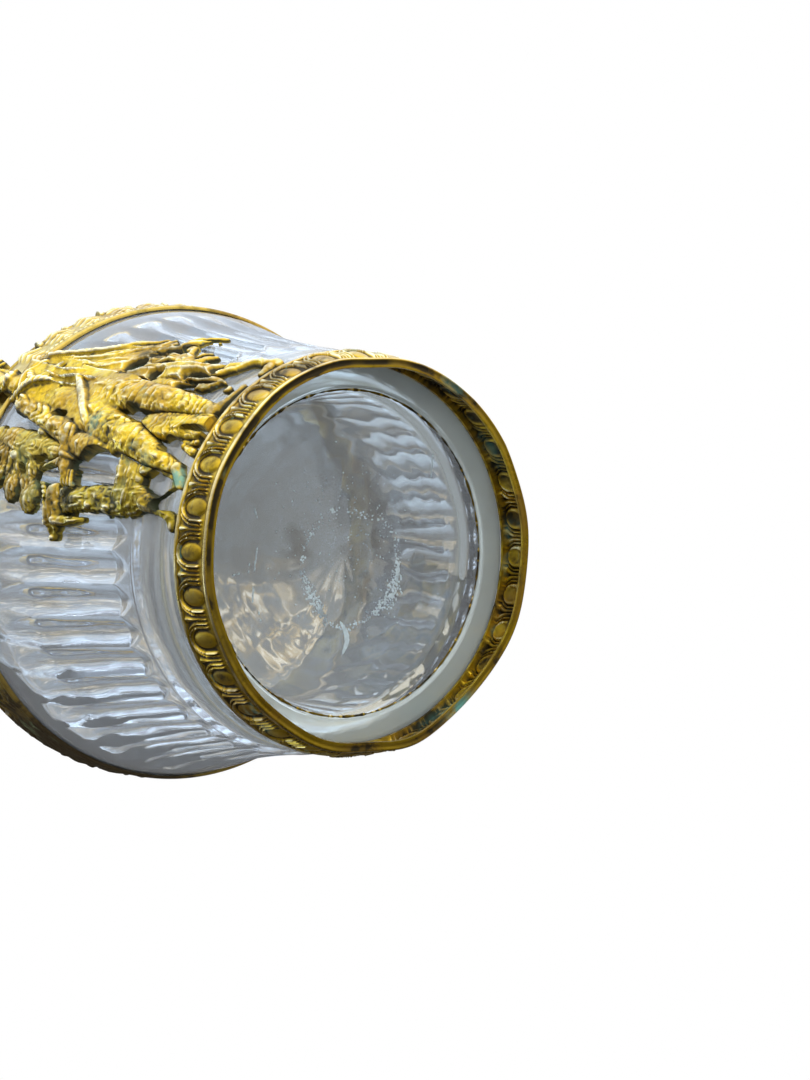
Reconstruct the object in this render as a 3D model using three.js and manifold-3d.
import * as THREE from 'three';
import { mergeVertices } from 'three/addons/utils/BufferGeometryUtils.js';
import Module from 'manifold-3d';

// Glass decanter in a gilt cage: a ring under the foot, a relief band round the belly and, between
// them, a hunting group on the front and on the rear. Millimetres, +Z up, origin at the middle of the
// base, the front group faces -Y.

const wasm = await Module();
wasm.setup();

// Driving dimensions, in millimetres
const lipRadius = 40;
const bellyRadius = 57;
const bellyHeight = 88;
const wall = 4.6;
const floorThickness = 5.5;
const floorFillet = 12;
const fit = 0.3;
const reliefGap = 0.32;
const edge = 0.8;

const ringHeight = 9.6;
const ringFlare = 1.6;
const rimWall = 1.4;
const sheet = 0.9;
const lipTurn = 1.15;
const lipHeight = 2.6;
const lipThickness = 0.8;
const eggCount = 30;
const eggRelief = 0.75;
const eggInset = 0.35;
const ledgeWidth = 1.3;
const ledgeThickness = 0.7;

const footSink = 0.6;
const footBand = 5.7;
const stepDepth = 0.9;
const kickUp = 3.2;

const ridgeHeight = 22;
const ridgeFlare = 3.1;
const fluteCount = 42;
const fluteRise = 5;
const fluteLength = 38.5;
const fluteDepth = 1.1;

const neckRadius = 15;
const neckBottom = 158;
const neckWall = 5.4;
const mouthRadius = 18.5;
const mouthFlareHeight = 15.4;
const boreTaper = 1.3;

const bandDrop = 11.5;
const bandHeight = 15;
const bandThickness = 1.3;
const bandRelief = 1.2;
const beadRise = 0.5;
const leafCount = 42;

const collarHeight = 20;
const collarThickness = 1.4;
const collarRelief = 0.9;
const collarBead = 0.9;
const collarPearls = 24;
const collarRoom = 1.3;

const plugLength = 22;
const plugRoom = 2;
const ballRadius = 17;
const ballFlutes = 12;
const ballFluteDepth = 0.8;
const flangeInset = 3;
const flangeThickness = 3;
const stemRadius = 8;
const stemHeight = 4;
const capRadius = 8.5;
const capHeight = 6;
const capPetal = 0.6;
const finialRadius = 3.6;

// The foot of the glass sits inside the ring's rim, and the collar fills the straight neck
const ringTopRadius = lipRadius + ringFlare;
const footRecess = ringHeight - footSink;
const footRadius = ringTopRadius - rimWall - fit;
const stepRadius = footRadius - footBand;
const ridgeRadius = footRadius + ridgeFlare;
const fluteBottom = ridgeHeight + fluteRise;
const fluteTop = fluteBottom + fluteLength;
const bandBottom = bellyHeight - bandDrop;
const bandTop = bandBottom + bandHeight;
const boreRadius = neckRadius - neckWall;
const collarBottom = neckBottom + collarRoom;
const collarTop = collarBottom + collarHeight;
const flareBottom = collarTop + collarRoom;
const bodyHeight = flareBottom + mouthFlareHeight;
const flangeRadius = mouthRadius - flangeInset;

const gilt = { color: 0xc79a3a, roughness: 0.34, metalness: 1 };
const agedGilt = { color: 0xb08a35, roughness: 0.42, metalness: 1 };
const leafGilt = { color: 0x8f7a34, roughness: 0.5, metalness: 1 };
const crystal = { color: 0xdfe6ea, roughness: 0.04, metalness: 0 };

const decanter = new THREE.Group();

function addPiece(name, geometry, finish, turn = 0) {
  const mesh = new THREE.Mesh(geometry, new THREE.MeshStandardMaterial(finish));
  mesh.name = name;
  mesh.rotation.z = turn;
  decanter.add(mesh);
}

// A closed surface made of rings of points. Each ring has its own count of points, and one ring
// may have twice or half as many as the next. A ring of one point closes the surface on the axis.
// With loop set, the last ring joins the first and the surface is a closed band.
function ringSurface(rings, loop = false) {
  const points = [];
  const starts = rings.map((ring) => {
    const start = points.length;
    points.push(...ring);
    return start;
  });
  const faces = [];
  const joinCount = loop ? rings.length : rings.length - 1;
  for (let i = 0; i < joinCount; i += 1) {
    const j = (i + 1) % rings.length;
    joinRings(faces, starts[i], rings[i].length, starts[j], rings[j].length);
  }
  const geometry = new THREE.BufferGeometry();
  geometry.setAttribute('position', new THREE.Float32BufferAttribute(points.flat(), 3));
  geometry.setIndex(faces);
  return geometry;
}

function joinRings(faces, a, countA, b, countB) {
  const most = Math.max(countA, countB);
  const stepA = countA / most;
  const stepB = countB / most;
  for (let k = 0; k < most; k += 1) {
    const a0 = a + Math.floor(k * stepA);
    const a1 = a + (Math.floor((k + 1) * stepA) % countA);
    const b0 = b + Math.floor(k * stepB);
    const b1 = b + (Math.floor((k + 1) * stepB) % countB);
    if (a0 !== a1) faces.push(a0, a1, b1);
    if (b0 !== b1) faces.push(a0, b1, b0);
  }
}

// One ring of count points about the axis; radius may be a number or a function of the angle
function ring(count, radius, z) {
  const points = [];
  for (let k = 0; k < count; k += 1) {
    const angle = (2 * Math.PI * k) / count;
    const r = typeof radius === 'function' ? radius(angle) : radius;
    points.push([r * Math.cos(angle), r * Math.sin(angle), z]);
  }
  return points;
}

function axisPoint(z) {
  return [[0, 0, z]];
}

// Outer profile of the glass above the foot, as [height, radius]. The two curves hold shares of the
// way up and of the way out: from the ridge to the belly, and from the belly in to the neck.
const bellyCurve = [
  [0.075, 0.075], [0.21, 0.2], [0.33, 0.32], [0.455, 0.45], [0.575, 0.6], [0.66, 0.71], [0.8, 0.88],
  [0.925, 0.982], [1, 1],
];
const shoulderCurve = [[0.13, 0.04], [0.31, 0.17], [0.5, 0.4], [0.67, 0.66], [0.82, 0.87], [1, 1]];

function between(start, end, share) {
  return start + share * (end - start);
}

const bodyProfile = [
  [footRecess, footRadius - edge],
  [footRecess + edge, footRadius],
  [ridgeHeight, ridgeRadius],
  ...bellyCurve.map(([up, out]) => [
    between(ridgeHeight, bellyHeight, up),
    between(ridgeRadius, bellyRadius, out),
  ]),
  ...shoulderCurve.map(([up, inward]) => [
    between(bellyHeight, neckBottom, up),
    between(bellyRadius, neckRadius, inward),
  ]),
  [flareBottom, neckRadius],
  [between(flareBottom, bodyHeight, 0.64), mouthRadius - edge],
  [bodyHeight - 1.5 * edge, mouthRadius],
  [bodyHeight, mouthRadius - edge],
];

function profileRadius(z, profile) {
  const last = profile.length - 1;
  if (z <= profile[0][0]) return profile[0][1];
  if (z >= profile[last][0]) return profile[last][1];
  const i = profile.findIndex((point) => point[0] > z);
  const [z0, r0] = profile[i - 1];
  const [z1, r1] = profile[i];
  return r0 + ((r1 - r0) * (z - z0)) / (z1 - z0);
}

function glassRadius(z) {
  return profileRadius(z, bodyProfile);
}

// How deep the flutes are cut at a height: pointed at the bottom, round at the top
function fluteCut(z) {
  const t = (z - fluteBottom) / (fluteTop - fluteBottom);
  if (t <= 0 || t >= 1) return 0;
  return fluteDepth * Math.min(1, 4 * t, Math.sqrt(6 * (1 - t)));
}

function fluted(z) {
  return (angle) => glassRadius(z) - fluteCut(z) * (0.5 - 0.5 * Math.cos(fluteCount * angle));
}

function innerRadius(z) {
  return Math.max(glassRadius(z) - wall, boreRadius);
}

function glassBody() {
  const count = fluteCount;
  const stepTop = footRecess + stepDepth;
  const floor = stepTop + kickUp + floorThickness;
  const plain = (z) => ring(count, glassRadius(z), z);
  const cut = (z) => ring(2 * count, fluted(z), z);
  const under = [
    axisPoint(stepTop + kickUp),
    ring(count, 0.5 * stepRadius, stepTop + 0.75 * kickUp),
    ring(count, 0.85 * stepRadius, stepTop + 0.28 * kickUp),
    ring(count, stepRadius - edge, stepTop),
    ring(count, stepRadius, footRecess),
  ];
  const low = bodyProfile.filter(([z]) => z <= fluteBottom).map(([z]) => plain(z));
  const fluteRows = [0.12, 0.25, 0.5, 0.75, 0.9, 0.97];
  const middle = fluteRows.map((t) => cut(between(fluteBottom, fluteTop, t)));
  const high = bodyProfile.filter(([z]) => z >= fluteTop).map(([z]) => plain(z));
  const boreTop = boreRadius + boreTaper;
  const bore = [
    ring(count, boreTop + edge, bodyHeight),
    ring(count, boreTop, bodyHeight - edge),
    ring(count, boreRadius, bodyHeight - plugLength - plugRoom),
  ];
  const shoulderRows = [0.93, 0.8, 0.65, 0.48, 0.3, 0.12];
  const cavityHeights = [
    ...shoulderRows.map((t) => between(bellyHeight, neckBottom, t)),
    between(floor, bellyHeight, 0.9),
    between(floor, bellyHeight, 0.5),
    floor + floorFillet,
  ];
  const cavity = cavityHeights.map((z) => ring(count, innerRadius(z), z));
  const floorRings = [
    ring(count, innerRadius(floor) - 0.3 * floorFillet, floor + 0.3 * floorFillet),
    ring(count, innerRadius(floor) - floorFillet, floor + 0.05 * floorFillet),
    axisPoint(floor),
  ];
  return ringSurface([...under, ...low, ...middle, ...high, ...bore, ...cavity, ...floorRings]);
}

// Egg-and-dart bulge, from 0 at the dart to 1 at the middle of an egg
function egg(angle, count) {
  return 0.5 + 0.5 * Math.cos(count * angle);
}

function ringWall(z) {
  return lipRadius + ((ringTopRadius - lipRadius) * z) / ringHeight;
}

function baseRing() {
  const count = 2 * eggCount;
  const rimBottom = ringHeight - rimWall;
  const eggMiddle = 0.5 * (lipHeight + rimBottom);
  const plain = (z) => ringWall(z) - eggInset;
  const raised = (angle) => plain(eggMiddle) + eggRelief * egg(angle, eggCount);
  const inside = (z) => plain(z) - sheet;
  const ledgeTop = footRecess - fit;
  const ledgeBottom = ledgeTop - ledgeThickness;
  const lipInside = inside(0) - lipTurn;
  return ringSurface([
    ring(count, lipInside, 0),
    ring(count, lipRadius - 0.25 * edge, 0),
    ring(count, lipRadius, 0.5 * edge),
    ring(count, plain(0), 0.6 * lipHeight),
    ring(count, plain(lipHeight), lipHeight),
    ring(2 * count, raised, eggMiddle),
    ring(count, plain(rimBottom), rimBottom),
    ring(count, ringTopRadius, rimBottom + 0.5 * edge),
    ring(count, ringTopRadius, ringHeight - 0.25 * edge),
    ring(count, footRadius + fit + eggInset, ringHeight),
    ring(count, footRadius + fit, ledgeTop),
    ring(count, footRadius - ledgeWidth, ledgeTop),
    ring(count, footRadius - ledgeWidth, ledgeBottom),
    ring(count, inside(ledgeBottom), ledgeBottom - 0.6 * edge),
    ring(count, inside(lipThickness), lipThickness + 0.75 * edge),
    ring(count, lipInside, lipThickness),
  ], true);
}

// Radius of the band's plain sheet, which runs unbroken behind the leaves and the hunters' heads
function sheetRadius(z) {
  return glassRadius(z) + fit + bandThickness;
}

function shoulderBand() {
  const count = leafCount;
  const skin = (z) => glassRadius(z) + fit;
  const at = (t) => between(bandBottom, bandTop, t);
  const raised = (z, share) => (angle) => sheetRadius(z) + share * bandRelief * egg(angle, leafCount);
  const inside = bodyProfile.map(([z]) => z).filter((z) => z > bandBottom && z < bandTop).reverse();
  return ringSurface([
    ring(count, skin(bandBottom), bandBottom),
    ring(count, sheetRadius(bandBottom), bandBottom),
    ring(count, sheetRadius(at(0.1)) + beadRise, at(0.1)),
    ring(count, sheetRadius(at(0.24)), at(0.24)),
    ring(2 * count, raised(at(0.44), 0.8), at(0.44)),
    ring(2 * count, raised(at(0.7), 1), at(0.7)),
    ring(count, sheetRadius(at(0.9)), at(0.9)),
    ring(count, sheetRadius(bandTop), bandTop),
    ring(count, skin(bandTop), bandTop),
    ...inside.map((z) => ring(count, skin(z), z)),
  ], true);
}

function neckCollar() {
  const count = collarPearls;
  const inside = neckRadius + fit;
  const outside = inside + collarThickness;
  const at = (t) => between(collarBottom, collarTop, t);
  const pearl = (angle) => outside + 0.3 * collarRelief + collarRelief * egg(angle, collarPearls);
  return ringSurface([
    ring(count, inside, collarBottom),
    ring(count, outside + collarBead, collarBottom),
    ring(count, outside + collarBead, at(0.12)),
    ring(count, outside, at(0.16)),
    ring(count, outside, at(0.3)),
    ring(2 * count, pearl, at(0.42)),
    ring(count, outside, at(0.54)),
    ring(count, outside, at(0.84)),
    ring(count, outside + 0.8 * collarBead, at(0.9)),
    ring(count, outside + 0.8 * collarBead, collarTop),
    ring(count, inside, collarTop),
  ], true);
}

// Ball of the stopper: its middle sits on the stem above the flange, and the cap sits on its crown
const stopperSeat = bodyHeight + fit;
const stemTop = stopperSeat + flangeThickness + stemHeight;
const ballMiddle = stemTop + 0.88 * ballRadius;
const capFoot = capRadius - 1.25 * edge;
const crown = ballMiddle + Math.sqrt(ballRadius ** 2 - capFoot ** 2);

function glassStopper() {
  const count = 2 * ballFlutes;
  const plugTop = boreRadius + boreTaper - fit;
  const plugEnd = plugTop - (boreTaper * plugLength) / (plugLength + plugRoom - edge);
  const low = bodyHeight - plugLength;
  const flangeTop = stopperSeat + flangeThickness;
  const ballRing = (t) => {
    const r = ballRadius * Math.sin(t);
    const depth = ballFluteDepth * Math.sin(t) ** 2;
    return ring(count, (angle) => r - depth * egg(angle, ballFlutes), ballMiddle - ballRadius * Math.cos(t));
  };
  return ringSurface([
    axisPoint(low),
    ring(count, plugEnd - edge, low),
    ring(count, plugEnd, low + edge),
    ring(count, plugTop, bodyHeight - edge),
    ring(count, plugTop, stopperSeat),
    ring(count, flangeRadius - edge, stopperSeat),
    ring(count, flangeRadius, stopperSeat + 0.5 * flangeThickness),
    ring(count, flangeRadius - edge, flangeTop),
    ring(count, stemRadius, flangeTop + 0.25 * stemHeight),
    ring(count, stemRadius, stemTop),
    ...[0.25, 0.4, 0.55, 0.7].map((share) => ballRing(share * Math.PI)),
    ring(count, capFoot, crown),
    axisPoint(crown),
  ]);
}

function stopperCap() {
  const count = 2 * ballFlutes;
  const seat = crown + fit;
  const petal = (angle) => capRadius + capPetal * egg(angle, ballFlutes);
  const knob = seat + capHeight + finialRadius;
  return ringSurface([
    axisPoint(seat),
    ring(count, capFoot, seat),
    ring(count, petal, seat + 0.17 * capHeight),
    ring(count, 0.82 * capRadius, seat + 0.45 * capHeight),
    ring(count, 0.45 * finialRadius, seat + 0.85 * capHeight),
    ring(count, 0.8 * finialRadius, knob - 0.6 * finialRadius),
    ring(count, finialRadius, knob),
    ring(count, 0.7 * finialRadius, knob + 0.75 * finialRadius),
    axisPoint(knob + 1.25 * finialRadius),
  ]);
}

// Relief. A limb follows a few stations, each [degrees from the middle of the group, height, lift
// off the glass, half width]. Degrees are counted to the right as the group is looked at. Heights are
// drawn for a group that stands on drawnBottom and has its shoulders at drawnTop, and the group
// is fitted between the ring and the band.
const drawnBottom = 9.6;
const drawnTop = 76.5;
const front = -Math.PI / 2;
const flatness = 0.72;
const limbSides = 6;

function wrap(degrees, drawnHeight, lift) {
  const angle = front + THREE.MathUtils.degToRad(degrees);
  const z = between(ringHeight, bandBottom, (drawnHeight - drawnBottom) / (drawnTop - drawnBottom));
  const r = glassRadius(z) + lift;
  return new THREE.Vector3(r * Math.cos(angle), r * Math.sin(angle), z);
}

function outward(degrees) {
  const angle = front + THREE.MathUtils.degToRad(degrees);
  return new THREE.Vector3(Math.cos(angle), Math.sin(angle), 0);
}

function limbGeometry(stations, grow) {
  const middles = stations.map(([degrees, z, lift]) => wrap(degrees, z, lift));
  const rings = [];
  const last = stations.length - 1;
  stations.forEach(([degrees, , , halfWidth], i) => {
    const before = middles[Math.max(i - 1, 0)];
    const after = middles[Math.min(i + 1, last)];
    const along = after.clone().sub(before).normalize();
    const side = along.clone().cross(outward(degrees)).normalize();
    const up = side.clone().cross(along).normalize();
    const points = [];
    for (let k = 0; k < limbSides; k += 1) {
      const angle = (2 * Math.PI * (k + 0.5)) / limbSides;
      const across = (halfWidth + grow) * Math.cos(angle);
      const rise = (flatness * halfWidth + grow) * Math.sin(angle);
      const point = middles[i].clone().addScaledVector(side, across).addScaledVector(up, rise);
      points.push(point.toArray());
    }
    rings.push(points);
  });
  const tip = (i, direction) => {
    const reach = 0.6 * stations[i][3] + grow;
    const along = middles[i].clone().sub(middles[i + direction]).normalize();
    return [middles[i].clone().addScaledVector(along, reach).toArray()];
  };
  return ringSurface([tip(0, 1), ...rings, tip(last, -1)]);
}

function solidOf(geometry) {
  const plain = geometry.clone();
  plain.deleteAttribute('normal');
  plain.deleteAttribute('uv');
  const merged = mergeVertices(plain, 1e-5);
  const mesh = new wasm.Mesh({
    numProp: 3,
    vertProperties: new Float32Array(merged.attributes.position.array),
    triVerts: new Uint32Array(merged.index.array),
  });
  const solid = new wasm.Manifold(mesh);
  if (solid.volume() > 0) return solid;
  const flipped = merged.index.array.slice();
  for (let i = 0; i < flipped.length; i += 3) {
    [flipped[i], flipped[i + 1]] = [flipped[i + 1], flipped[i]];
  }
  return new wasm.Manifold(new wasm.Mesh({
    numProp: 3,
    vertProperties: new Float32Array(merged.attributes.position.array),
    triVerts: new Uint32Array(flipped),
  }));
}

function geometryOf(solid) {
  const mesh = solid.getMesh();
  const geometry = new THREE.BufferGeometry();
  const count = mesh.vertProperties.length / mesh.numProp;
  const points = new Float32Array(3 * count);
  for (let i = 0; i < count; i += 1) {
    for (let k = 0; k < 3; k += 1) points[3 * i + k] = mesh.vertProperties[mesh.numProp * i + k];
  }
  geometry.setAttribute('position', new THREE.BufferAttribute(points, 3));
  geometry.setIndex(new THREE.BufferAttribute(new Uint32Array(mesh.triVerts), 1));
  return geometry;
}

function figure(limbs, grow = 0) {
  return limbs
    .map((stations) => solidOf(limbGeometry(stations, grow)))
    .reduce((whole, limb) => whole.add(limb));
}

// What the relief has to stay clear of: the glass, the ring below it and the band above it
function turned(profile, count) {
  const rings = profile.map(([z, r]) => ring(count, r, z));
  const first = profile[0][0];
  const lastHeight = profile[profile.length - 1][0];
  return solidOf(ringSurface([axisPoint(first), ...rings, axisPoint(lastHeight)]));
}

function bandSheet(extra) {
  const inner = bodyProfile.map(([z]) => z).filter((z) => z > bandBottom && z < bandTop);
  const heights = [bandBottom - extra, ...inner, bandTop + extra];
  return turned(heights.map((z) => [z, sheetRadius(z) + extra]), leafCount);
}

function clearance() {
  const glass = bodyProfile.map(([z, r]) => [z, r + reliefGap]);
  const ringAndBelow = [[-ringHeight, 2 * lipRadius], [ringHeight + reliefGap, 2 * lipRadius]];
  return turned(glass, fluteCount).add(turned(ringAndBelow, fluteCount)).add(bandSheet(reliefGap));
}

const hunter = [
  // Neck, head and hat
  [[-5.2, 73, 2.4, 2.4], [-5.6, 79, 3.4, 2.1]],
  [[-5.8, 80.4, 3.8, 2.6], [-5.9, 84, 4.6, 3.9], [-5.9, 88, 4.2, 3.3]],
  [[-11.4, 87.4, 3.8, 1.3], [-5.9, 88.6, 5, 1.9], [-0.4, 87.4, 3.8, 1.3]],
  [[-5.9, 89, 3.8, 3.2], [-5.9, 92, 3.4, 2.4]],
  // Shoulders
  [[-10.4, 69.5, 1.8, 2.8], [-5, 72.4, 2, 2.8], [0.6, 72, 1.8, 2.8]],
  // Tunic
  [[-4.6, 71, 1.2, 5], [-5.4, 62, 1.4, 5.4], [-5.6, 53, 1.4, 6.2]],
  [[-12, 45.6, 1.4, 2], [-6, 51.5, 1.8, 2.4], [1, 57, 1.4, 2]],
  [[0.8, 70, 1, 2.8], [1.4, 60, 1, 3]],
  // Hips
  [[-8.6, 46.6, 1.4, 4.4], [-2, 51, 1.4, 4.4]],
  // Left leg and boot
  [[-8.4, 45, 1.2, 5], [-12, 34.4, 1.6, 4.3], [-16.2, 25.4, 1.4, 3.3], [-19.8, 17.4, 1.4, 3],
    [-21.4, 12.6, 1.2, 2.2]],
  [[-21, 12.2, 1.2, 2.2], [-25, 11.6, 1.2, 1.8]],
  // Right leg and boot
  [[-1.6, 49, 1.4, 4.8], [-0.6, 39, 1.8, 4.7], [-1.2, 28.6, 1.6, 3.5], [-1.4, 19.6, 1.6, 3.2],
    [-0.6, 12.8, 1.2, 2.2]],
  [[-0.4, 12.6, 1.2, 2.2], [5.6, 12, 1.2, 1.9], [11, 11.6, 1.1, 1.3]],
  // Left arm
  [[-10.6, 67, 1.8, 3.1], [-13.6, 58.6, 2, 3.2], [-15, 51.2, 1.8, 2.8]],
  [[-15, 51, 1.8, 2.5], [-19, 49, 1.8, 2.1], [-23.4, 47.4, 1.6, 1.8], [-27.4, 45.6, 1.5, 1.7]],
  // Horn that hangs from the arm
  [[-15.6, 47.6, 1, 4.2], [-15.2, 41, 1, 3], [-15, 34, 1, 1.3]],
  // Cape
  [[1.6, 73.4, 1, 2.8], [6, 64.6, 0.8, 3.6], [11, 56.4, 0.8, 3.8], [16.2, 49, 0.8, 3.2],
    [19.6, 42.6, 0.8, 2]],
  [[2.6, 67, 0.8, 2.6], [5, 56, 0.7, 3], [7.8, 48, 0.7, 2]],
];

const hound = [
  [[-32, 22.4, 0.9, 3.4], [-28.6, 26, 1, 4.6], [-23.4, 27, 1, 4.2], [-18.6, 28, 0.8, 2.6]],
  [[-29.4, 27, 1, 4], [-29.2, 33.6, 1, 3.5], [-30.4, 39.4, 1, 2.9]],
  [[-30.6, 39.6, 1, 2.6], [-33.4, 44.4, 1.2, 2.6], [-37, 46.4, 1.1, 1.9], [-40.6, 47.6, 0.9, 1.2]],
  [[-31, 42, 1, 1.5], [-29.4, 47, 0.9, 1.1], [-26.8, 50.6, 0.8, 0.9]],
  [[-31.6, 22.6, 0.9, 2.9], [-33.4, 16.6, 0.8, 1.9], [-35, 12.6, 0.8, 1.4], [-37, 11.2, 0.8, 1.2]],
  [[-27.6, 22.6, 0.9, 2.4], [-27.8, 17.4, 0.8, 1.5], [-23.8, 15.6, 0.8, 1.1]],
];

const secondHound = [
  [[6.8, 44, 0.7, 2.4], [6.6, 38.6, 0.8, 2.8], [8.6, 33, 0.8, 3.3], [11, 27.4, 0.8, 2.9],
    [14.4, 24, 0.7, 2]],
  [[6, 33.6, 0.7, 1.7], [4.4, 27, 0.6, 1.3], [4, 21, 0.6, 1.1], [6.6, 17.6, 0.6, 1],
    [7.4, 15, 0.6, 0.9]],
  [[11, 26.6, 0.7, 2], [14.6, 21.6, 0.6, 1.3], [18, 17, 0.6, 1.1], [16.6, 11.2, 0.6, 1]],
  [[14.6, 25.6, 0.7, 2], [19, 24, 0.6, 1.4], [21.4, 18.6, 0.6, 1.1], [23.2, 14.6, 0.6, 1],
    [22.4, 11.2, 0.6, 1]],
];

const game = [
  [[10.4, 45, 0.7, 2.2], [13.6, 38.6, 0.7, 2.6], [16, 35, 0.7, 1.8]],
  [[15.6, 36, 0.6, 1.3], [20.6, 32.4, 0.6, 1]],
  [[13.6, 41, 0.7, 1.6], [18.6, 37.6, 0.7, 1.5], [23, 38, 0.7, 1.3], [27.6, 39.6, 0.6, 1.1],
    [30.6, 38, 0.6, 0.9]],
];

const stump = [
  [[-6, 11.4, 0.8, 3.8], [-6.8, 20, 0.8, 3.2], [-7.8, 30, 0.8, 3]],
  [[-9, 20, 0.8, 1.8], [-12.8, 17, 0.8, 1.5], [-14.4, 11.4, 0.8, 1.7]],
];

const oakBranch = [
  [[-17.6, 73, 0.9, 2], [-18, 66, 0.9, 2.2], [-19.6, 60, 0.9, 2.6], [-21, 54.6, 0.9, 2.2]],
  [[-18, 64, 0.9, 2], [-23.4, 62.4, 1, 3.1], [-29.6, 64.6, 1, 3.1], [-33.4, 63.4, 0.9, 2]],
  [[-21, 59.6, 0.9, 2], [-26.4, 58.6, 0.9, 2.4], [-31, 57.4, 0.9, 2.3], [-34.8, 56.4, 0.9, 2]],
];

function reliefPieces() {
  const groups = [
    ['hunter', hunter, gilt],
    ['hound', hound, agedGilt],
    ['second_hound', secondHound, gilt],
    ['game', game, gilt],
    ['stump', stump, agedGilt],
    ['oak_branch', oakBranch, leafGilt],
  ];
  let taken = clearance();
  return groups.map(([name, limbs, finish]) => {
    const solid = figure(limbs).subtract(taken);
    taken = taken.add(figure(limbs, fit));
    return [name, geometryOf(largestPart(solid)), finish];
  });
}

// The leaves of the band give way to the hunters' heads; its sheet runs on behind them
function notchedBand() {
  const frontCut = figure(hunter, fit).subtract(bandSheet(0));
  const rearCut = solidOf(geometryOf(frontCut).rotateZ(Math.PI));
  return geometryOf(largestPart(solidOf(shoulderBand()).subtract(frontCut).subtract(rearCut)));
}

// Cuts can leave crumbs behind, so the piece is the largest body that is left
function largestPart(solid) {
  const parts = solid.decompose();
  return parts.reduce((best, part) => (part.volume() > best.volume() ? part : best));
}

addPiece('glass_body', glassBody(), crystal);
addPiece('base_ring', baseRing(), agedGilt);
addPiece('shoulder_band', notchedBand(), agedGilt);
reliefPieces().forEach(([name, geometry, finish]) => {
  addPiece(`front_${name}`, geometry, finish);
  addPiece(`rear_${name}`, geometry, finish, Math.PI);
});
addPiece('neck_collar', neckCollar(), gilt);
addPiece('glass_stopper', glassStopper(), crystal);
addPiece('stopper_cap', stopperCap(), gilt);

export default decanter;
